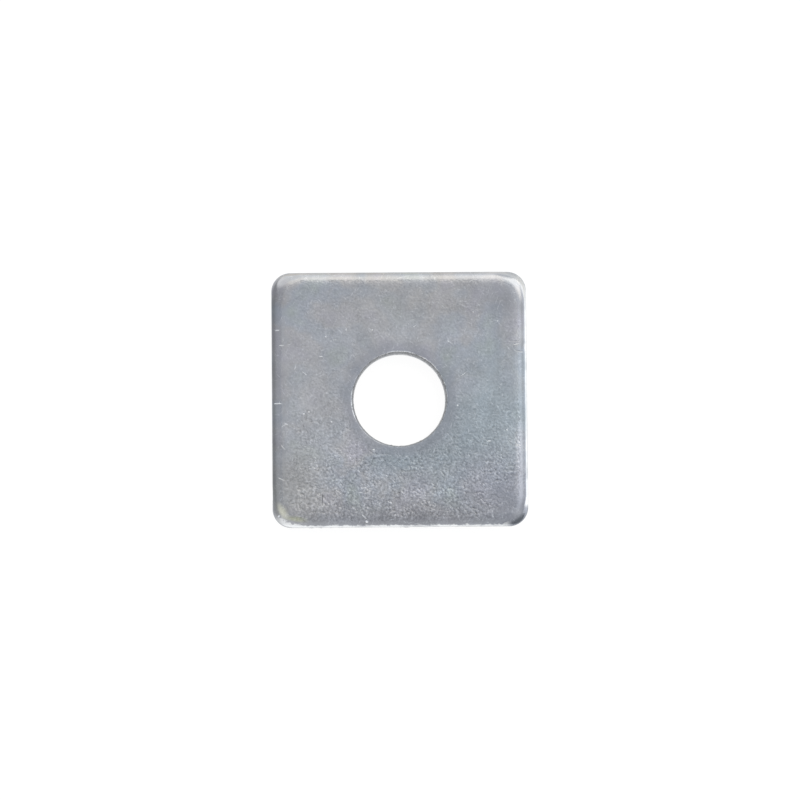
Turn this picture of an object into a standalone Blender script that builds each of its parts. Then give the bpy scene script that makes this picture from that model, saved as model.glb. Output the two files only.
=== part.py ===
"""Square plate washer for an M16 bolt: one piece of 5 mm steel strip, pierced, blanked and zinc plated.

The press gives the edges their form. Round the outside the die draws the upper edge over in a soft roll,
shears a smooth band below it and tears the rest, which leans in towards the lower face. The bolt hole was
pierced by the same stroke, so it is the other way up: rolled at the lower face, sheared above that, and torn
into a slightly wider rim at the upper face. Tumbling has broken the two edges that the tearing left sharp.

Metres, +Z up. The origin is on the axis of the bolt hole, at the lower face, which bears on the work.
"""

import math

import bmesh
import bpy

# Plate
SIDE = 0.0500
THICKNESS = 0.0050
CORNER_R = 0.0037
CORNERS = ((1, 1), (-1, 1), (-1, -1), (1, -1))

# Outer edge, from the upper face down
ROLL_WIDTH = 0.0024
ROLL_DEPTH = 0.0007
ROLL_CORNER_R = 0.0034
SHEAR_HEIGHT = 0.0014
TEAR_LEAN = 0.0003

# Bolt hole, from the lower face up
BOLT_HOLE_D = 0.0180
HOLE_ROLL_WIDTH = 0.0012
HOLE_ROLL_DEPTH = 0.0005
HOLE_SHEAR_HEIGHT = 0.0016
HOLE_TEAR_LEAN = 0.0003

# Both torn edges
EDGE_BREAK = 0.00012

# Facets
CORNER_STEPS = 12
HOLE_STEPS = 96
ROLL_STEPS = 8
SHARP_ANGLE = math.radians(25)

# Blue-passivated zinc on steel
ZINC_COLOUR = (0.40, 0.42, 0.45, 1.0)
ZINC_ROUGHNESS = 0.42
ZINC_METALLIC = 1.0


def zinc_plating():
    """The satin, faintly blue plating that covers the whole washer."""
    material = bpy.data.materials.new("zinc_plating")
    material.use_nodes = True
    shader = material.node_tree.nodes["Principled BSDF"]
    shader.inputs["Base Color"].default_value = ZINC_COLOUR
    shader.inputs["Roughness"].default_value = ZINC_ROUGHNESS
    shader.inputs["Metallic"].default_value = ZINC_METALLIC
    return material


def roll_section(width, depth):
    """Points (distance in from the wall, depth below the face) down a rolled edge, from the face to the wall.

    It is a quarter of an ellipse, so that it runs smoothly out of the face and into the wall, and from each
    point to the next the surface turns by the same angle.
    """
    points = []
    for step in range(ROLL_STEPS + 1):
        slope = 0.5 * math.pi * step / ROLL_STEPS
        turn = math.atan2(width * math.sin(slope), depth * math.cos(slope))
        points.append((width * (1.0 - math.sin(turn)), depth * (1.0 - math.cos(turn))))
    return points


def square_ring(bm, inset, corner_r, height):
    """A closed ring of edges: the plate's square outline with round corners, moved in by the inset."""
    arc_centre = 0.5 * SIDE - inset - corner_r
    points = []
    for quarter, (side_x, side_y) in enumerate(CORNERS):
        for step in range(CORNER_STEPS + 1):
            turn = 0.5 * math.pi * (quarter + step / CORNER_STEPS)
            x = side_x * arc_centre + corner_r * math.cos(turn)
            y = side_y * arc_centre + corner_r * math.sin(turn)
            points.append((x, y, height))
    return closed_ring(bm, points)


def round_ring(bm, radius, height):
    """A closed ring of edges round the axis of the bolt hole."""
    turns = [2.0 * math.pi * step / HOLE_STEPS for step in range(HOLE_STEPS)]
    return closed_ring(bm, [(radius * math.cos(turn), radius * math.sin(turn), height) for turn in turns])


def closed_ring(bm, points):
    """The points joined by edges, and the last one to the first."""
    verts = [bm.verts.new(point) for point in points]
    return [bm.edges.new(pair) for pair in zip(verts, verts[1:] + verts[:1])]


def outer_edge(bm):
    """The rings of the outer edge, from the flat of the upper face to the flat of the lower face."""
    rings = []
    for inset, drop in roll_section(ROLL_WIDTH, ROLL_DEPTH):
        corner_r = CORNER_R + (ROLL_CORNER_R - CORNER_R) * inset / ROLL_WIDTH
        rings.append(square_ring(bm, inset, corner_r, THICKNESS - drop))
    rings.append(square_ring(bm, 0.0, CORNER_R, THICKNESS - ROLL_DEPTH - SHEAR_HEIGHT))
    rings.append(square_ring(bm, TEAR_LEAN, CORNER_R, EDGE_BREAK))
    rings.append(square_ring(bm, TEAR_LEAN + EDGE_BREAK, CORNER_R, 0.0))
    return rings


def bolt_hole(bm):
    """The rings of the bolt hole's wall, from the flat of the lower face to the flat of the upper face."""
    hole_r = 0.5 * BOLT_HOLE_D
    rim_r = hole_r + HOLE_TEAR_LEAN
    rings = []
    for flare, rise in roll_section(HOLE_ROLL_WIDTH, HOLE_ROLL_DEPTH):
        rings.append(round_ring(bm, hole_r + flare, rise))
    rings.append(round_ring(bm, hole_r, HOLE_ROLL_DEPTH + HOLE_SHEAR_HEIGHT))
    rings.append(round_ring(bm, rim_r, THICKNESS - EDGE_BREAK))
    rings.append(round_ring(bm, rim_r + EDGE_BREAK, THICKNESS))
    return rings


def skin(bm, rings):
    """Joins each ring to the next with a band of faces."""
    for ring, following in zip(rings, rings[1:]):
        bmesh.ops.bridge_loops(bm, edges=ring + following)


def plate_washer():
    """The washer: the outer edge, the hole's wall, and the two flats that lie between them."""
    bm = bmesh.new()
    outside = outer_edge(bm)
    hole = bolt_hole(bm)
    skin(bm, outside)
    skin(bm, hole)
    bmesh.ops.triangle_fill(bm, use_beauty=True, edges=outside[0] + hole[-1])
    bmesh.ops.triangle_fill(bm, use_beauty=True, edges=outside[-1] + hole[0])
    bmesh.ops.recalc_face_normals(bm, faces=bm.faces)
    mesh = bpy.data.meshes.new("plate_washer")
    bm.to_mesh(mesh)
    bm.free()
    mesh.shade_smooth()
    mesh.set_sharp_from_angle(angle=SHARP_ANGLE)
    mesh.materials.append(zinc_plating())
    washer = bpy.data.objects.new("plate_washer", mesh)
    bpy.context.scene.collection.objects.link(washer)
    return washer


for leftover in list(bpy.data.objects):
    bpy.data.objects.remove(leftover)

plate_washer()
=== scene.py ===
"""A square plate washer of zinc-plated steel, lying on white paper under a light tent, seen from above."""

import math

import bmesh
import bpy
from mathutils import Matrix, Quaternion, Vector, noise


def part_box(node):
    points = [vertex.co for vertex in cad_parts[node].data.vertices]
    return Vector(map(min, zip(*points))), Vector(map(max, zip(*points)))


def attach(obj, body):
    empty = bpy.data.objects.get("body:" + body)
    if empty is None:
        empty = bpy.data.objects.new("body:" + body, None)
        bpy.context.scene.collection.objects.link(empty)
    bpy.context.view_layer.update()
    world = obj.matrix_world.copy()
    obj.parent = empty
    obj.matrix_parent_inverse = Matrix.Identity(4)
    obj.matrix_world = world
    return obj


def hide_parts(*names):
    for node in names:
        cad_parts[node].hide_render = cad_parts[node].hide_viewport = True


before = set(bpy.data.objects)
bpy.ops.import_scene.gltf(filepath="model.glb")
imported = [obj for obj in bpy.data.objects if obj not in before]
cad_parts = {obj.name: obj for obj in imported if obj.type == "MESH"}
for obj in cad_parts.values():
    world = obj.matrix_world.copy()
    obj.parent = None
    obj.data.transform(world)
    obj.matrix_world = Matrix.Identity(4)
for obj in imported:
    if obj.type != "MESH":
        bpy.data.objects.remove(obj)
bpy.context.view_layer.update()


# Plate washer
# One square of 5 mm mild steel strip with a round hole for an M16 bolt. A press pierced the hole and then
# cut the square out, which drew the upper edge over in a soft roll, sheared a smooth band under it and tore
# the rest. It was then tumbled, barrel plated with zinc and passivated.
MM = 0.001
low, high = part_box("plate_washer")
SIDE = high.x - low.x
THICKNESS = high.z - low.z
CORNER_R = 3.7 * MM

# The outer edge, from the upper face down.
ROLL_WIDTH = 2.4 * MM
ROLL_DEPTH = 0.7 * MM
ROLL_CORNER_R = 3.4 * MM
SHEAR_HEIGHT = 1.4 * MM
TEAR_LEAN = 0.3 * MM

# Near a corner the die drew the metal down further: by this much, over this far in from the outline, and
# fading out along the sides between these distances from the middle.
CORNER_SAG = 0.35 * MM
SAG_REACH = 2.8 * MM
SAG_FROM = 18.8 * MM
SAG_FULL = 22.4 * MM

# The hole, from the lower face up.
HOLE_R = 9.0 * MM
HOLE_ROLL_WIDTH = 1.2 * MM
HOLE_ROLL_DEPTH = 0.5 * MM
HOLE_SHEAR_HEIGHT = 1.6 * MM
HOLE_TEAR_LEAN = 0.3 * MM

# Tumbling took this much off both torn edges, and rubbed down the burr round the hole's upper rim.
EDGE_BREAK = 0.12 * MM
RIM_WIDTH = 0.24 * MM
RIM_DEPTH = 0.13 * MM

# How finely the mesh follows that section.
CORNER_STEPS = 16
SIDE_CUTS = 133
ROLL_STEPS = 14
SHEAR_STEPS = 7
TEAR_STEPS = 16
BREAK_STEPS = 3
RIM_STEPS = 6
UPPER_CUTS = 26
LOWER_CUTS = 12
SHARP_ANGLE = math.radians(40)

# How rough and uneven the tearing left the walls, and how much the press bent the whole plate. The torn grain
# is taller than it is wide, and has a finer one on it, whose size and relief are this share of its own.
TEAR_GRAIN = 0.55 * MM
TEAR_STRETCH = 1.8
TEAR_FINER = 0.5
TEAR_RELIEF = 0.11 * MM
TEAR_START = 0.25 * MM
WANDER_PITCH = 2.4 * MM
TEAR_WANDER = 0.35 * MM
WARP_PITCH = 11 * MM
WARP_RELIEF = 0.012 * MM

# Knocks from the tumbling barrel, as (x, y, z) of the place, radius and depth, in millimetres.
KNOCKS = (
    ((-25.0, -18.6, 4.2), 2.4, 0.05),
    ((-6.6, -24.4, 4.6), 0.8, 0.05),
    ((12.5, -24.7, 0.3), 1.1, 0.12),
    ((24.8, 9.8, 4.3), 1.3, 0.04),
    ((24.7, -6.0, 0.2), 1.4, 0.14),
    ((-24.8, 12.0, 0.3), 1.0, 0.12),
    ((3.0, 24.8, 0.4), 1.5, 0.12),
    ((-22.6, -23.4, 4.7), 0.9, 0.07),
)


def square_loop(bm, inset, corner_r, height):
    """A loop of edges along the plate's outline, moved in by the inset, with round corners. The four longest
    edges are its straight sides, which are cut up finely."""
    flat = bmesh.ops.create_grid(bm, x_segments=1, y_segments=1, size=0.5 * SIDE - inset,
                                 matrix=Matrix.Translation((0, 0, height)))
    bent = bmesh.ops.bevel(bm, geom=flat["verts"], affect="VERTICES", offset=corner_r, offset_type="OFFSET",
                           segments=CORNER_STEPS, profile=0.5, material=-1)
    face = bent["verts"][0].link_faces[0]
    straight = sorted(face.edges, key=lambda edge: edge.calc_length())[-4:]
    bmesh.ops.subdivide_edges(bm, edges=straight, cuts=SIDE_CUTS)
    loop = list(face.edges)
    bmesh.ops.delete(bm, geom=[face], context="FACES_ONLY")
    return loop


def round_loop(bm, radius, height):
    """A loop of edges round the hole's axis: the outline's loop, each point drawn in to the radius."""
    loop = square_loop(bm, ROLL_WIDTH, ROLL_CORNER_R, height)
    for vert in {vert for edge in loop for vert in edge.verts}:
        vert.co.xy *= radius / vert.co.xy.length
    return loop


def roll_section(width, depth):
    """Points down a rolled edge, a quarter of an ellipse, each as how far in from the wall and how far below
    the face it is."""
    points = []
    for step in range(ROLL_STEPS + 1):
        slope = 0.5 * math.pi * step / ROLL_STEPS
        turn = math.atan2(width * math.sin(slope), depth * math.cos(slope))
        points.append((width * (1 - math.sin(turn)), depth * (1 - math.cos(turn))))
    return points


def spaced(start, end, steps):
    """The even steps from the start to the end, without the start itself."""
    return [start + (end - start) * step / steps for step in range(1, steps + 1)]


def outer_loops(bm):
    """The loops down the outer edge, from the flat of the upper face to the flat of the lower one."""
    loops = []
    for inset, drop in roll_section(ROLL_WIDTH, ROLL_DEPTH):
        corner_r = CORNER_R + (ROLL_CORNER_R - CORNER_R) * inset / ROLL_WIDTH
        loops.append(square_loop(bm, inset, corner_r, THICKNESS - drop))
    sheared_to = THICKNESS - ROLL_DEPTH - SHEAR_HEIGHT
    for height in spaced(THICKNESS - ROLL_DEPTH, sheared_to, SHEAR_STEPS):
        loops.append(square_loop(bm, 0, CORNER_R, height))
    for height in spaced(sheared_to, EDGE_BREAK, TEAR_STEPS):
        lean = TEAR_LEAN * (sheared_to - height) / (sheared_to - EDGE_BREAK)
        loops.append(square_loop(bm, lean, CORNER_R, height))
    for turn in spaced(0, 0.5 * math.pi, BREAK_STEPS):
        inset = TEAR_LEAN + EDGE_BREAK * (1 - math.cos(turn))
        loops.append(square_loop(bm, inset, CORNER_R, EDGE_BREAK * (1 - math.sin(turn))))
    return loops


def hole_loops(bm):
    """The loops up the hole's wall, from the flat of the lower face to the flat of the upper one."""
    loops = []
    for flare, rise in roll_section(HOLE_ROLL_WIDTH, HOLE_ROLL_DEPTH):
        loops.append(round_loop(bm, HOLE_R + flare, rise))
    sheared_to = HOLE_ROLL_DEPTH + HOLE_SHEAR_HEIGHT
    for height in spaced(HOLE_ROLL_DEPTH, sheared_to, SHEAR_STEPS):
        loops.append(round_loop(bm, HOLE_R, height))
    for height in spaced(sheared_to, THICKNESS - RIM_DEPTH, TEAR_STEPS):
        lean = HOLE_TEAR_LEAN * (height - sheared_to) / (THICKNESS - RIM_DEPTH - sheared_to)
        loops.append(round_loop(bm, HOLE_R + lean, height))
    for turn in spaced(0, 0.5 * math.pi, RIM_STEPS):
        flare = HOLE_TEAR_LEAN + RIM_WIDTH * (1 - math.cos(turn))
        loops.append(round_loop(bm, HOLE_R + flare, THICKNESS - RIM_DEPTH * (1 - math.sin(turn))))
    return loops


def smooth_step(value, start, end):
    """From 0 at the start to 1 at the end, gently at both."""
    share = min(max((value - start) / (end - start), 0), 1)
    return share * share * (3 - 2 * share)


def wrinkle(place, pitch, stretch=1):
    """Even noise from -1 to 1, with the pitch's size across the plate and the stretch times that up it."""
    return noise.noise(Vector((place.x, place.y, place.z / stretch)) / pitch)


def wall(bm, loops):
    """Skins the loops of one wall, facing outwards, and returns its points."""
    skin = []
    for loop, following in zip(loops, loops[1:]):
        skin += bmesh.ops.bridge_loops(bm, edges=loop + following)["faces"]
    bmesh.ops.recalc_face_normals(bm, faces=skin)
    bm.normal_update()
    return {vert for face in skin for vert in face.verts}


def tear(verts, torn_layer, sheared_to, upwards):
    """Roughens a wall past the height where its sheared band ends, and marks how torn each point is."""
    for vert in verts:
        past = upwards * (vert.co.z - sheared_to) + TEAR_WANDER * wrinkle(vert.co, WANDER_PITCH)
        from_face = min(vert.co.z, THICKNESS - vert.co.z)
        vert[torn_layer] = smooth_step(past, 0, TEAR_START) * smooth_step(from_face, 0, EDGE_BREAK)
        out = Vector((vert.normal.x, vert.normal.y, 0)).normalized()
        rough = wrinkle(vert.co, TEAR_GRAIN, TEAR_STRETCH)
        rough += TEAR_FINER * wrinkle(vert.co, TEAR_FINER * TEAR_GRAIN)
        vert.co += out * TEAR_RELIEF * rough * vert[torn_layer]


def flat(bm, outline, rim, cuts):
    """The face between the outline and the hole's rim, in rings of squares."""
    spokes = bmesh.ops.bridge_loops(bm, edges=outline + rim)["edges"]
    bmesh.ops.subdivide_edges(bm, edges=spokes, cuts=cuts, use_grid_fill=True)


def sag(bm):
    """Draws the corners of the upper face down, and the top of the wall below them."""
    wall_top = THICKNESS - ROLL_DEPTH
    arc_centre = 0.5 * SIDE - CORNER_R
    for vert in bm.verts:
        x, y = abs(vert.co.x), abs(vert.co.y)
        past_x, past_y = x - arc_centre, y - arc_centre
        inset = CORNER_R - math.hypot(max(past_x, 0), max(past_y, 0)) - min(max(past_x, past_y), 0)
        near = smooth_step(min(x, y), SAG_FROM, SAG_FULL) * max(1 - inset / SAG_REACH, 0) ** 2
        vert.co.z -= CORNER_SAG * near * smooth_step(vert.co.z, wall_top - SHEAR_HEIGHT, wall_top)


def wear(bm):
    """Warps the plate a little, most of all its upper face, and knocks its edges in."""
    for vert in bm.verts:
        warp = WARP_RELIEF * wrinkle(vert.co, WARP_PITCH)
        vert.co.z += warp * smooth_step(vert.co.z, 0, THICKNESS)
    for middle, radius, depth in KNOCKS:
        middle = Vector(middle) * MM
        for vert in bm.verts:
            reach = (vert.co - middle).length / (radius * MM)
            if reach < 1:
                vert.co -= vert.normal * depth * MM * (1 - reach * reach) ** 2


bm = bmesh.new()
torn_layer = bm.verts.layers.float.new("torn")
outside = outer_loops(bm)
tear(wall(bm, outside), torn_layer, THICKNESS - ROLL_DEPTH - SHEAR_HEIGHT, -1)
hole = hole_loops(bm)
tear(wall(bm, hole), torn_layer, HOLE_ROLL_DEPTH + HOLE_SHEAR_HEIGHT, 1)
flat(bm, outside[0], hole[-1], UPPER_CUTS)
flat(bm, outside[-1], hole[0], LOWER_CUTS)
bmesh.ops.recalc_face_normals(bm, faces=bm.faces)
sag(bm)
bm.normal_update()
wear(bm)
mesh = bpy.data.meshes.new("plate_washer_skin")
bm.to_mesh(mesh)
bm.free()
mesh.shade_smooth()
mesh.set_sharp_from_angle(angle=SHARP_ANGLE)
plate = bpy.data.objects.new("plate_washer_skin", mesh)
bpy.context.scene.collection.objects.link(plate)


def linear(code):
    """A colour written as #RRGGBB, as the linear values that the shaders take."""
    parts = [int(code[place:place + 2], 16) / 255 for place in (1, 3, 5)]
    return (*[part / 12.92 if part <= 0.04045 else ((part + 0.055) / 1.055) ** 2.4 for part in parts], 1.0)


def add(tree, kind, inputs=None, **settings):
    """Adds a node with its settings and its inputs: an output is linked, and anything else is a value."""
    made = tree.nodes.new(kind)
    for name, value in settings.items():
        setattr(made, name, value)
    for name, value in (inputs or {}).items():
        if isinstance(value, bpy.types.NodeSocket):
            tree.links.new(value, made.inputs[name])
        else:
            made.inputs[name].default_value = value
    return made


# Zinc plate, blue passivated: a satin, neutral grey metal. The passivation film varies in thickness, which
# gives it faint patches of blue, violet, green and teal, and a straw-coloured spot at one corner. The strip's
# grain and the knocks of the tumbling barrel show through it as fine glitter, most of all towards the front,
# among which the bright flecks are painted glints. The pressed places are the smoothest, and the torn walls
# the roughest and darkest. Painted highlights lie along the roll and round the hole's burr, and painted shade
# on the hole's wall just under the burr.
ZINC = "#A3A5AA"
ZINC_BLUE = "#9DA3AD"
ZINC_VIOLET = "#A2A3AD"
ZINC_GREEN = "#9EA6A9"
ZINC_TEAL = "#8F9AA3"
ZINC_AQUA = "#9BA7B0"
ZINC_SLATE = "#8D929D"
ZINC_PLUM = "#9495A2"
ZINC_LILAC = "#B9BCC5"
ZINC_PALE = "#ACAFB4"
ZINC_BARE = "#A1A2A3"
ZINC_DULL = "#8F9197"
ZINC_STRAW = "#D4D5C6"
ZINC_OLIVE = "#A9AC9A"
# A lighter colour for the painted highlight on the roll's steep band.
CREST_HIGHLIGHT = "#D8DADC"
# The colour of bare scratches and nicks, and of the painted glints and highlights.
SCRATCH_AND_HIGHLIGHT = "#DEE3EA"
TORN_ZINC = "#A9ACB0"
TORN_PIT = "#7A7D82"
# The colour of the painted shade on the hole's wall just under the burr.
WALL_SHADE = "#54575C"
WALL_ROUGHNESS = 0.15
FACE_ROUGHNESS = 0.3
TORN_ROUGHNESS = 0.36

# The sizes of the patterns. The real grain, crystals, scratches, facets and die streaks are several times
# smaller, too fine to show in the render, so they are drawn as coarse as they need to show.
FILM_PATCH = 6.2 * MM
BLOTCH = 3.4 * MM
GRAIN = 0.49 * MM
GRAIN_CLUMP = 2.4 * MM
FLECK_PITCH = 0.95 * MM
STROKE_LENGTH = 1.5 * MM
STROKE_WIDTH = 0.15 * MM
STROKE_TURNS = (12, 68, 131)
FRACTURE = 0.28 * MM
FRACTURE_HEIGHT = 0.55 * MM
STREAK = 0.17 * MM
STREAK_HEIGHT = 5 * MM

# How much light and shade each pattern gives. The grain's relief is a height, and the others' reliefs are
# multiples of it.
BLOTCH_SHARE = 0.25
FILM_SHADE = 1.7
STREAK_SHADE = 0.9
GRAIN_RELIEF = 0.096 * MM
STREAK_RELIEF = 0.5
FRACTURE_RELIEF = 3.2
MARK_RELIEF = 0.8

# Where the film is of another thickness: the middle of the patch (x, y), its half width and half height, in
# millimetres, its turn in degrees, its colour and how far it goes that way.
FILM_TINTS = (
    ((9, -8), (21, 17), 0, ZINC_TEAL, 0.75),
    ((0, -12), (8.5, 3.5), 0, ZINC_TEAL, 0.6),
    ((18, -16), (10, 9), 0, ZINC_PLUM, 0.6),
    ((23, -22), (15, 12), 0, ZINC_SLATE, 0.8),
    ((20, 20), (12, 10), 0, ZINC_SLATE, 0.45),
    ((19, -1), (12, 19), 0, ZINC_AQUA, 0.75),
    ((-17, -1), (13, 19), 0, ZINC_PALE, 0.6),
    ((-3, 13), (17, 9), 0, ZINC_PALE, 0.5),
    ((0, -24), (40, 7), 0, ZINC_DULL, 0.9),
    ((-21, -17), (10, 12), 0, ZINC_BARE, 0.8),
    ((3, 19.5), (19, 7), 0, ZINC_BARE, 0.45),
    ((-23.1, -21.7), (2.5, 1.2), -57, ZINC_STRAW, 0.8),
    ((-20.4, -23.3), (3.0, 0.8), -8, ZINC_OLIVE, 0.9),
    ((17.5, 24.2), (10, 1.8), 0, ZINC_LILAC, 0.4),
    ((-17, 24.2), (9, 1.6), 0, ZINC_PALE, 0.45),
    ((23.5, -12.5), (1.5, 12), 0, ZINC_LILAC, 0.6),
    ((23.0, -22.9), (2.0, 2.0), 0, ZINC_PALE, 0.45),
)

# Scratches and nicks: the middle (x, y), the length and width, in millimetres, the turn in degrees, and how
# bright, or below 0 how dark.
MARKS = (
    ((-23.8, -0.7), 1.9, 0.26, 0, 0.85),
    ((-23.5, -0.4), 0.9, 0.20, 62, 0.5),
    ((12.7, 5.0), 1.7, 0.22, 39, 0.8),
    ((17.5, -8.3), 1.1, 0.28, 0, 0.9),
    ((23.0, 10.7), 1.5, 0.24, 13, 0.75),
    ((22.5, 11.3), 2.6, 0.22, 0, -0.45),
    ((23.4, 9.3), 2.0, 0.30, -12, -0.4),
    ((20.8, 9.1), 1.7, 0.20, 88, 0.3),
    ((23.1, -9.0), 1.3, 0.30, -20, 0.45),
    ((-23.2, -15.5), 1.9, 0.22, -25, 0.35),
    ((-22.6, -4.9), 1.6, 0.22, 35, 0.5),
    ((-22.2, -4.7), 1.2, 0.20, -30, 0.4),
    ((-22.8, -9.3), 1.6, 0.20, -45, 0.3),
    ((-23.0, 10.7), 1.2, 0.22, 0, 0.5),
    ((-23.8, 13.7), 1.0, 0.25, 0, 0.45),
    ((-20.3, 6.5), 1.2, 0.22, 70, 0.45),
    ((-18.5, 5.2), 1.4, 0.20, -40, 0.4),
    ((9.9, 11.2), 1.1, 0.20, -30, 0.4),
    ((13.5, -6.2), 1.2, 0.20, 85, 0.35),
    ((-6.6, -23.9), 1.0, 0.45, -30, 0.8),
    ((-7.0, -23.0), 1.9, 0.35, -45, 0.4),
    ((-23.7, -22.8), 0.7, 0.50, 20, 0.9),
    ((-18.7, -2.7), 0.45, 0.40, 0, 0.9),
    ((-13.3, -4.3), 0.45, 0.35, 0, 0.7),
    ((11.4, -1.2), 0.45, 0.40, 0, 0.7),
    ((21.0, -6.1), 0.50, 0.45, 0, 0.8),
    ((19.4, 15.3), 0.45, 0.35, 0, 0.6),
    ((-14.3, 12.4), 0.45, 0.35, 0, 0.6),
    ((-15.3, 8.5), 0.9, 0.24, 0, 0.7),
    ((-5.1, -9.8), 0.50, 0.35, 0, 0.7),
    ((-17.7, -2.3), 0.45, 0.35, 0, 0.5),
    ((-10.3, 13.8), 0.70, 0.24, 80, 0.5),
    ((-5.2, 13.7), 0.50, 0.30, 0, 0.5),
    ((3.1, 14.4), 0.80, 0.22, 35, 0.45),
    ((14.6, 17.1), 0.45, 0.30, 0, 0.5),
    ((-15.3, -19.5), 2.9, 0.22, 90, -0.9),
    ((-18.4, -18.9), 1.5, 0.20, 80, -0.5),
)

# Where a painted highlight lies along the burr round the hole: the middle of the stretch (x, y), its half
# width and half height, in millimetres, and how bright.
BURR_HIGHLIGHTS = (
    ((-9.4, -1.2), (2.2, 3.6), 1.0),
    ((0.3, 9.4), (3.4, 2.0), 0.8),
    ((6.3, 7.2), (2.2, 2.4), 0.6),
    ((-5.6, -7.8), (3.0, 2.4), 0.3),
)

zinc = bpy.data.materials.new("blue_passivated_zinc")
zinc.use_nodes = True
tree = zinc.node_tree
shader = tree.nodes["Principled BSDF"]
place = add(tree, "ShaderNodeTexCoord").outputs["Object"]
spread = add(tree, "ShaderNodeSeparateXYZ", {0: place}).outputs
in_plan = add(tree, "ShaderNodeCombineXYZ", {"X": spread["X"], "Y": spread["Y"]}).outputs[0]
from_axis = add(tree, "ShaderNodeVectorMath", {0: in_plan}, operation="LENGTH").outputs["Value"]


def patch(middle, half_size, turn=0):
    """How near a point is to the middle of an oval patch of the upper face: 1 there, 0 from its rim on. The
    middle and the half size are in millimetres, and the turn is in degrees."""
    local = add(tree, "ShaderNodeMapping", {
        "Vector": place,
        "Location": (middle[0] * MM, middle[1] * MM, THICKNESS),
        "Rotation": (0, 0, math.radians(turn)),
        "Scale": (half_size[0] * MM, half_size[1] * MM, THICKNESS),
    }, vector_type="TEXTURE")
    return add(tree, "ShaderNodeTexGradient", {0: local.outputs[0]}, gradient_type="SPHERICAL").outputs["Fac"]


def stretched(size, turn=0, detail=2.0):
    """Noise whose grains have this size along X, Y and Z, turned by so many degrees about the hole's axis."""
    local = add(tree, "ShaderNodeMapping", {
        "Vector": place,
        "Rotation": (0, 0, math.radians(turn)),
        "Scale": size,
    }, vector_type="TEXTURE").outputs[0]
    return add(tree, "ShaderNodeTexNoise", {"Vector": local, "Scale": 1.0, "Detail": detail}).outputs[0]


def within(*limits):
    """The levels of all the limits at a point, multiplied. Each limit is a value, its start and its end, and
    the level that it gives at each. Between them the level changes smoothly, and past them it stays."""
    product = 1.0
    for value, start, end, first, last in limits:
        part = add(tree, "ShaderNodeMapRange", {
            "Value": value, "From Min": start, "From Max": end, "To Min": first, "To Max": last,
        }, interpolation_type="SMOOTHSTEP").outputs[0]
        product = add(tree, "ShaderNodeMath", {0: product, 1: part}, operation="MULTIPLY").outputs[0]
    return product


def ups_and_downs(pattern, strength):
    """A pattern of 0 to 1 taken about its middle, at this strength."""
    about = add(tree, "ShaderNodeMath", {0: pattern, 1: 0.5}, operation="SUBTRACT").outputs[0]
    return add(tree, "ShaderNodeMath", {0: about, 1: strength}, operation="MULTIPLY").outputs[0]


# The film runs through these colours from 0 to 1 of a slow noise, and each is pure at its own place there.
# The press held the plate down round the hole, and the film has come out a little thicker in that ring.
FILM_COLOURS = ((0.30, ZINC_GREEN), (0.44, ZINC_BLUE), (0.56, ZINC), (0.70, ZINC_VIOLET))
TINT_FULL = 0.9
PRESSED_RING = (HOLE_R + 3.4 * MM, HOLE_R + 1.4 * MM, 0.0, 0.45)

film = add(tree, "ShaderNodeTexNoise", {"Vector": place, "Scale": 1 / FILM_PATCH})
patches = add(tree, "ShaderNodeValToRGB", {"Fac": film.outputs[0]})
stops = patches.color_ramp.elements
for position, colour in FILM_COLOURS:
    stops.new(position).color = linear(colour)
stops.remove(stops[-1])
stops.remove(stops[0])
tone = patches.outputs[0]
for middle, half_size, turn, colour, most in FILM_TINTS:
    share = within((patch(middle, half_size, turn), 0, TINT_FULL, 0, most))
    tone = add(tree, "ShaderNodeMix", {0: share, 6: tone, 7: linear(colour)}, data_type="RGBA").outputs[2]
share = within((from_axis, *PRESSED_RING))
tone = add(tree, "ShaderNodeMix", {0: share, 6: tone, 7: linear(ZINC_SLATE)}, data_type="RGBA").outputs[2]

# The grain is strong to the front and fine to the back, and lies in clumps. It was pressed and rubbed
# smoother round the hole, along the left side, at the two right corners and down the roll.
GRAIN_FRONT = (8 * MM, -22 * MM, 0.30, 0.95)
GRAIN_HOLE = (HOLE_R + 0.6 * MM, HOLE_R + 3.2 * MM, 0.3, 1.0)
GRAIN_LEFT = (-0.5 * SIDE + 1 * MM, -0.5 * SIDE + 6 * MM, 0.35, 1.0)
GRAIN_CORNERS = (((23, 22), (9, 11)), ((23, -22), (8, 8)))
GRAIN_CORNER = (0.7, 0.1, 0.35, 1.0)
GRAIN_ROLL = (THICKNESS - 0.12 * MM, THICKNESS - 0.02 * MM, 0.35, 1.0)
GRAIN_CLUMPS = (0.38, 0.62, 0.7, 1.2)
GRAIN_ROUGH = 0.6

clump = add(tree, "ShaderNodeTexNoise", {"Vector": place, "Scale": 1 / GRAIN_CLUMP})
coarse = within(
    (spread["Y"], *GRAIN_FRONT),
    (from_axis, *GRAIN_HOLE),
    (spread["X"], *GRAIN_LEFT),
    *[(patch(*corner), *GRAIN_CORNER) for corner in GRAIN_CORNERS],
    (spread["Z"], *GRAIN_ROLL),
    (clump.outputs[0], *GRAIN_CLUMPS),
)
grain = add(tree, "ShaderNodeTexNoise", {"Vector": place, "Scale": 1 / GRAIN, "Roughness": GRAIN_ROUGH})
relief = ups_and_downs(grain.outputs[0], coarse)

# Fine light and dark specks, and soft blotches, where the film is thin or thick over the grain.
speck = add(tree, "ShaderNodeTexNoise", {"Vector": place, "Scale": 1 / GRAIN}).outputs[0]
blotch = add(tree, "ShaderNodeTexNoise", {"Vector": place, "Scale": 1 / BLOTCH}).outputs[0]
specks = ups_and_downs(speck, coarse)
blotches = ups_and_downs(blotch, BLOTCH_SHARE)
uneven = add(tree, "ShaderNodeMath", {0: specks, 1: blotches}, operation="ADD").outputs[0]
value = add(tree, "ShaderNodeMath", {0: uneven, 1: FILM_SHADE, 2: 1.0}, operation="MULTIPLY_ADD").outputs[0]
tone = add(tree, "ShaderNodeHueSaturation", {"Color": tone, "Value": value}).outputs[0]
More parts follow.
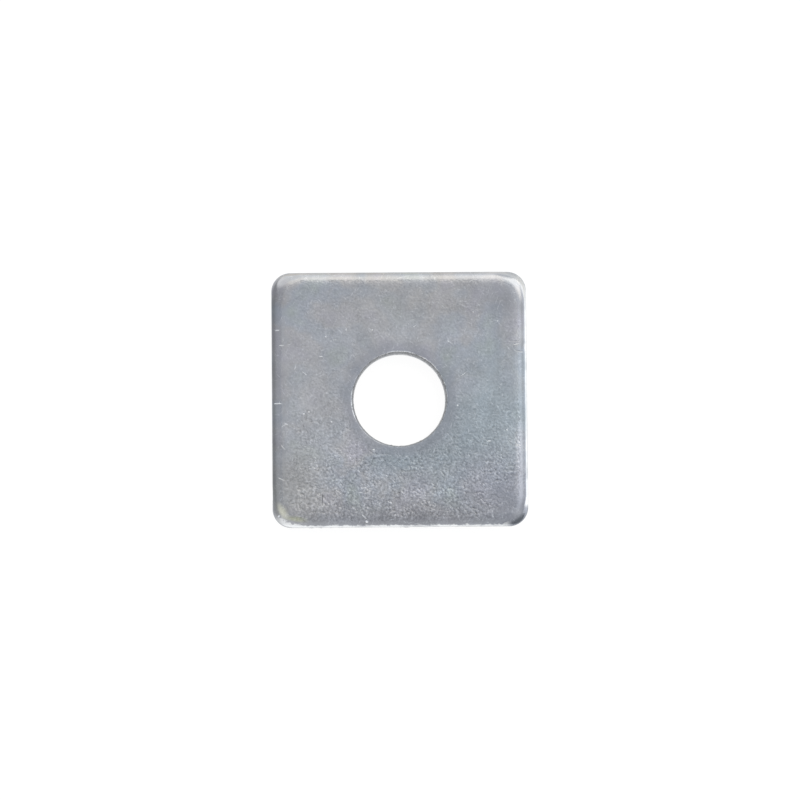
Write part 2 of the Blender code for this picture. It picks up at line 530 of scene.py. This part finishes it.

# Painted glints: bright flecks where about one crystal of the plating in three would face the light, most
# of all where the grain is strong. With them, short fine scratches, lying every way, from the other washers
# in the barrel.
FLECK_LUCK = (0.65, 0.95, 0.0, 1.0)
FLECK_SIZE = (0.24, 0.10, 0.0, 1.0)
FLECK_GRAIN = (0.1, 0.9, 0.22, 0.5)
STROKE_BRIGHT = (0.65, 0.75, 0.0, 0.4)

crystal = add(tree, "ShaderNodeTexVoronoi", {"Vector": place, "Scale": 1 / FLECK_PITCH}).outputs
luck = add(tree, "ShaderNodeSeparateColor", {0: crystal["Color"]}).outputs[0]
bright = within((luck, *FLECK_LUCK), (crystal["Distance"], *FLECK_SIZE), (coarse, *FLECK_GRAIN))
for turn in STROKE_TURNS:
    stroke = within((stretched((STROKE_LENGTH, STROKE_WIDTH, STROKE_LENGTH), turn), *STROKE_BRIGHT))
    bright = add(tree, "ShaderNodeMath", {0: bright, 1: stroke}, operation="MAXIMUM").outputs[0]
tone = add(tree, "ShaderNodeMix", {0: bright, 6: tone, 7: linear(SCRATCH_AND_HIGHLIGHT)}, data_type="RGBA").outputs[2]

# A painted highlight down the roll's steep part, less along the left side and the back. The band begins
# unevenly at the front, stops short of the front right corner, and is only on the outer edge.
CREST_RAGGED = (-20 * MM, -23 * MM, 0.05 * MM, 0.45 * MM)
CREST_TOP = (THICKNESS - 0.27 * MM, THICKNESS - 0.41 * MM, 0.0, 1.0)
CREST_END = (THICKNESS - 1.0 * MM, THICKNESS - 0.7 * MM, 0.0, 1.0)
CREST_OUT = (0.3 * SIDE, 0.4 * SIDE, 0.0, 1.0)
CREST_SIDES = (-8 * MM, 3 * MM, 0.1, 1.0)
CREST_CORNER = ((24.2, -24.0), (4.6, 4.6))
CREST_CLEAR = (0.5, 0.2, 0.0, 1.0)
CREST_BLOTCH = (0.36, 0.55, 0.6, 1.0)

ragged = ups_and_downs(speck, within((spread["Y"], *CREST_RAGGED)))
height = add(tree, "ShaderNodeMath", {0: spread["Z"], 1: ragged}, operation="ADD").outputs[0]
sideways = add(tree, "ShaderNodeMath", {0: spread["X"], 1: spread["Y"]}, operation="SUBTRACT").outputs[0]
crest_highlight = within(
    (height, *CREST_TOP),
    (spread["Z"], *CREST_END),
    (from_axis, *CREST_OUT),
    (sideways, *CREST_SIDES),
    (patch(*CREST_CORNER), *CREST_CLEAR),
    (blotch, *CREST_BLOTCH),
)
tone = add(tree, "ShaderNodeMix", {0: crest_highlight, 6: tone, 7: linear(CREST_HIGHLIGHT)}, data_type="RGBA").outputs[2]

# A painted highlight on parts of the burr that was rubbed down round the hole's upper rim, in a line at
# this radius.
BURR_R = HOLE_R + HOLE_TEAR_LEAN + 0.65 * RIM_WIDTH
BURR_INSIDE = (BURR_R - 0.13 * MM, BURR_R - 0.05 * MM, 0.0, 1.0)
BURR_OUTSIDE = (BURR_R + 0.13 * MM, BURR_R + 0.05 * MM, 0.0, 1.0)
BURR_SPECK = (0.4, 0.55, 0.3, 1.0)
BURR_FULL = 0.5

highlighted = 0.0
for middle, half_size, most in BURR_HIGHLIGHTS:
    stretch = within((patch(middle, half_size), 0, BURR_FULL, 0, most))
    highlighted = add(tree, "ShaderNodeMath", {0: highlighted, 1: stretch}, operation="MAXIMUM").outputs[0]
burr = within((from_axis, *BURR_INSIDE), (from_axis, *BURR_OUTSIDE), (speck, *BURR_SPECK))
burr = add(tree, "ShaderNodeMath", {0: burr, 1: highlighted}, operation="MULTIPLY").outputs[0]
tone = add(tree, "ShaderNodeMix", {0: burr, 6: tone, 7: linear(SCRATCH_AND_HIGHLIGHT)}, data_type="RGBA").outputs[2]

# Torn metal, all small facets and pits. Just under the burr, painted shade darkens the hole's wall.
FRACTURE_DETAIL = 4.0
FACETS = (0.3, 0.7, 0.0, 1.0)
WALL_SHADE_TOP = (THICKNESS - 0.10 * MM, THICKNESS - 0.25 * MM, 0.0, 1.0)
WALL_SHADE_END = (THICKNESS - 2.0 * MM, THICKNESS - 0.8 * MM, 0.0, 1.0)
WALL_SHADE_REACH = (HOLE_R + 2 * MM, HOLE_R + 1 * MM, 0.0, 0.75)

torn = add(tree, "ShaderNodeAttribute", attribute_name="torn").outputs["Fac"]
fracture = stretched((FRACTURE, FRACTURE, FRACTURE_HEIGHT), detail=FRACTURE_DETAIL)
facets = add(tree, "ShaderNodeMix", {
    0: within((fracture, *FACETS)), 6: linear(TORN_PIT), 7: linear(TORN_ZINC)}, data_type="RGBA").outputs[2]
tone = add(tree, "ShaderNodeMix", {0: torn, 6: tone, 7: facets}, data_type="RGBA").outputs[2]
wall_shade = within((spread["Z"], *WALL_SHADE_TOP), (spread["Z"], *WALL_SHADE_END), (from_axis, *WALL_SHADE_REACH))
tone = add(tree, "ShaderNodeMix", {0: wall_shade, 6: tone, 7: linear(WALL_SHADE)}, data_type="RGBA").outputs[2]
pits = add(tree, "ShaderNodeMath", {0: fracture, 1: torn}, operation="MULTIPLY").outputs[0]

# The die's upright streaks, on the walls between these heights, where they aren't torn.
WALL_TOP = (THICKNESS - 0.55 * MM, THICKNESS - 0.8 * MM, 0.0, 1.0)
WALL_END = (0.1 * MM, 0.3 * MM, 0.0, 1.0)

whole = add(tree, "ShaderNodeMath", {0: 1.0, 1: torn}, operation="SUBTRACT").outputs[0]
sheared = within((spread["Z"], *WALL_TOP), (spread["Z"], *WALL_END))
sheared = add(tree, "ShaderNodeMath", {0: sheared, 1: whole}, operation="MULTIPLY").outputs[0]
streak = ups_and_downs(stretched((STREAK, STREAK, STREAK_HEIGHT)), sheared)
value = add(tree, "ShaderNodeMath", {0: streak, 1: STREAK_SHADE, 2: 1.0}, operation="MULTIPLY_ADD").outputs[0]
tone = add(tree, "ShaderNodeHueSaturation", {"Color": tone, "Value": value}).outputs[0]
for height, strength in ((streak, STREAK_RELIEF), (pits, FRACTURE_RELIEF)):
    relief = add(tree, "ShaderNodeMath", {
        0: height, 1: strength, 2: relief}, operation="MULTIPLY_ADD").outputs[0]

# The scratches and nicks are cut into all of that.
MARK_FULL = 0.7

for middle, length, width, turn, shine in MARKS:
    share = within((patch(middle, (0.5 * length, 0.5 * width), turn), 0, MARK_FULL, 0, abs(shine)))
    colour = linear(SCRATCH_AND_HIGHLIGHT if shine > 0 else TORN_PIT)
    tone = add(tree, "ShaderNodeMix", {0: share, 6: tone, 7: colour}, data_type="RGBA").outputs[2]
    relief = add(tree, "ShaderNodeMath", {
        0: share, 1: -MARK_RELIEF, 2: relief}, operation="MULTIPLY_ADD").outputs[0]
tree.links.new(tone, shader.inputs["Base Color"])

# The flat of the face is satin, and everything below it smoother, but for the torn metal.
FACE_FROM = (THICKNESS - 0.05 * MM, THICKNESS - 0.015 * MM, WALL_ROUGHNESS, FACE_ROUGHNESS)

bump = add(tree, "ShaderNodeBump", {"Height": relief, "Strength": 1.0, "Distance": GRAIN_RELIEF})
tree.links.new(bump.outputs[0], shader.inputs["Normal"])
shader.inputs["Metallic"].default_value = 1.0
finish = within((spread["Z"], *FACE_FROM))
roughness = add(tree, "ShaderNodeMix", {0: torn, 2: finish, 3: TORN_ROUGHNESS}).outputs[0]
tree.links.new(roughness, shader.inputs["Roughness"])
mesh.materials.append(zinc)

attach(plate, "root")
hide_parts("plate_washer")


# White paper
# The washer lies on it. It shows as white wherever the camera or the metal sees it, by a glow that nothing
# else gets, and under that it is a matt grey that still takes the washer's soft shadow. From below it is
# clear, so that the washer's underside can be looked at.
FLOOR_SIZE = 4.0
PAPER_GLOW = 0.90
PAPER_MATT = "#6F6F6F"

bm = bmesh.new()
bmesh.ops.create_grid(bm, x_segments=1, y_segments=1, size=0.5 * FLOOR_SIZE)
mesh = bpy.data.meshes.new("paper")
bm.to_mesh(mesh)
bm.free()
paper = bpy.data.objects.new("paper", mesh)
bpy.context.scene.collection.objects.link(paper)
white = bpy.data.materials.new("white_paper")
white.use_nodes = True
tree = white.node_tree
tree.nodes.remove(tree.nodes["Principled BSDF"])
ray = add(tree, "ShaderNodeLightPath").outputs
seen = ray["Is Camera Ray"]
for other in ("Is Glossy Ray", "Is Transmission Ray"):
    seen = add(tree, "ShaderNodeMath", {0: seen, 1: ray[other]}, operation="MAXIMUM").outputs[0]
glow = add(tree, "ShaderNodeMath", {0: seen, 1: PAPER_GLOW}, operation="MULTIPLY")
light = add(tree, "ShaderNodeEmission", {"Strength": glow.outputs[0]})
matt = add(tree, "ShaderNodeBsdfDiffuse", {"Color": linear(PAPER_MATT)})
both = add(tree, "ShaderNodeAddShader", {0: matt.outputs[0], 1: light.outputs[0]})
clear = add(tree, "ShaderNodeBsdfTransparent")
below = add(tree, "ShaderNodeNewGeometry").outputs["Backfacing"]
both = add(tree, "ShaderNodeMixShader", {0: below, 1: both.outputs[0], 2: clear.outputs[0]})
tree.links.new(both.outputs[0], tree.nodes["Material Output"].inputs["Surface"])
paper.data.materials.append(white)


# Light tent
# White cloth overhead, and panels of light and shade all round: bright ones behind, to the right and in
# front, a dim one to the left and a small dark one to the front right. Past the paper the camera sees white.
OVERHEAD = (0.737, 0.740, 0.759)
BACKDROP = (1.0, 1.0, 1.0, 1.0)
WARM = (1.06, 1.0, 0.90)
MILD = (1.01, 1.0, 0.965)
PLAIN = (1.0, 1.0, 1.0)
COOL = (0.96, 1.0, 1.04)
PANELS = (
    # direction round from the right, angle down from overhead, angle within which it is full and angle at
    # which it ends, all in degrees, its strength and its tint; each covers part of those before it
    (90, 85, 30, 45, 1.25, WARM),
    (90, 34, 6, 24, 1.92, WARM),
    (270, 25, 8, 16, 0.93, PLAIN),
    (225, 60, 36, 52, 1.08, PLAIN),
    (270, 90, 32, 46, 1.33, PLAIN),
    (170, 72, 28, 57, 0.49, PLAIN),
    (138, 86, 12, 30, 1.00, MILD),
    (214, 75, 8, 28, 0.85, PLAIN),
    (117, 44, 14, 24, 1.45, MILD),
    (0, 24, 12, 20, 0.99, PLAIN),
    (5, 18, 4, 12, 1.33, PLAIN),
    (0, 90, 40, 52, 1.65, PLAIN),
    (45, 72, 26, 38, 1.00, MILD),
    (68, 52, 10, 20, 1.16, MILD),
    (22, 46, 8, 16, 1.32, PLAIN),
    (46, 34, 10, 16, 2.60, WARM),
    (313, 64, 16, 30, 0.36, COOL),
)

world = bpy.data.worlds.new("light_tent")
bpy.context.scene.world = world
world.use_nodes = True
tree = world.node_tree
background = tree.nodes["Background"]
towards = add(tree, "ShaderNodeTexCoord").outputs["Generated"]
level = (*OVERHEAD, 1)
for azimuth, drop, full, end, strength, tint in PANELS:
    azimuth, drop, full, end = (math.radians(angle) for angle in (azimuth, drop, full, end))
    middle = (math.sin(drop) * math.cos(azimuth), math.sin(drop) * math.sin(azimuth), math.cos(drop))
    facing = add(tree, "ShaderNodeVectorMath", {0: towards, 1: middle}, operation="DOT_PRODUCT")
    share = add(tree, "ShaderNodeMapRange", {
        "Value": facing.outputs["Value"], "From Min": math.cos(end), "From Max": math.cos(full),
    }, interpolation_type="SMOOTHSTEP")
    light = (*[strength * part for part in tint], 1)
    level = add(tree, "ShaderNodeMix", {0: share.outputs[0], 6: level, 7: light}, data_type="RGBA").outputs[2]
ray = add(tree, "ShaderNodeLightPath").outputs["Is Camera Ray"]
level = add(tree, "ShaderNodeMix", {0: ray, 6: level, 7: BACKDROP}, data_type="RGBA").outputs[2]
tree.links.new(level, background.inputs["Color"])


# Camera
# It looks almost straight down on the plate, from a little in front of it and to the left. The focal length
# is given in pixels of the picture, and sets how large the plate comes out.
DISTANCE = 0.70
LEAN_FRONT = math.radians(4.0)
LEAN_LEFT = math.radians(1.1)
TURN = math.radians(-0.49)
SENSOR = 36.0
FRAME_PIXELS = 800
FOCAL_PIXELS = 3564
AIM = Vector((0.12 * MM, 0.0, 0.5 * THICKNESS))

back = Vector((-math.sin(LEAN_LEFT), -math.sin(LEAN_FRONT) * math.cos(LEAN_LEFT),
               math.cos(LEAN_FRONT) * math.cos(LEAN_LEFT)))
right = Vector((0, 1, 0)).cross(back).normalized()
upright = Matrix((right, back.cross(right), back)).transposed()
camera = bpy.data.objects.new("camera", bpy.data.cameras.new("camera"))
camera.data.sensor_width = SENSOR
camera.data.lens = FOCAL_PIXELS * SENSOR / FRAME_PIXELS
camera.rotation_mode = "QUATERNION"
camera.rotation_quaternion = upright.to_quaternion() @ Quaternion((0, 0, 1), TURN)
camera.location = AIM + back * DISTANCE
bpy.context.scene.collection.objects.link(camera)
bpy.context.scene.camera = camera
bpy.context.scene.view_settings.view_transform = "Standard"
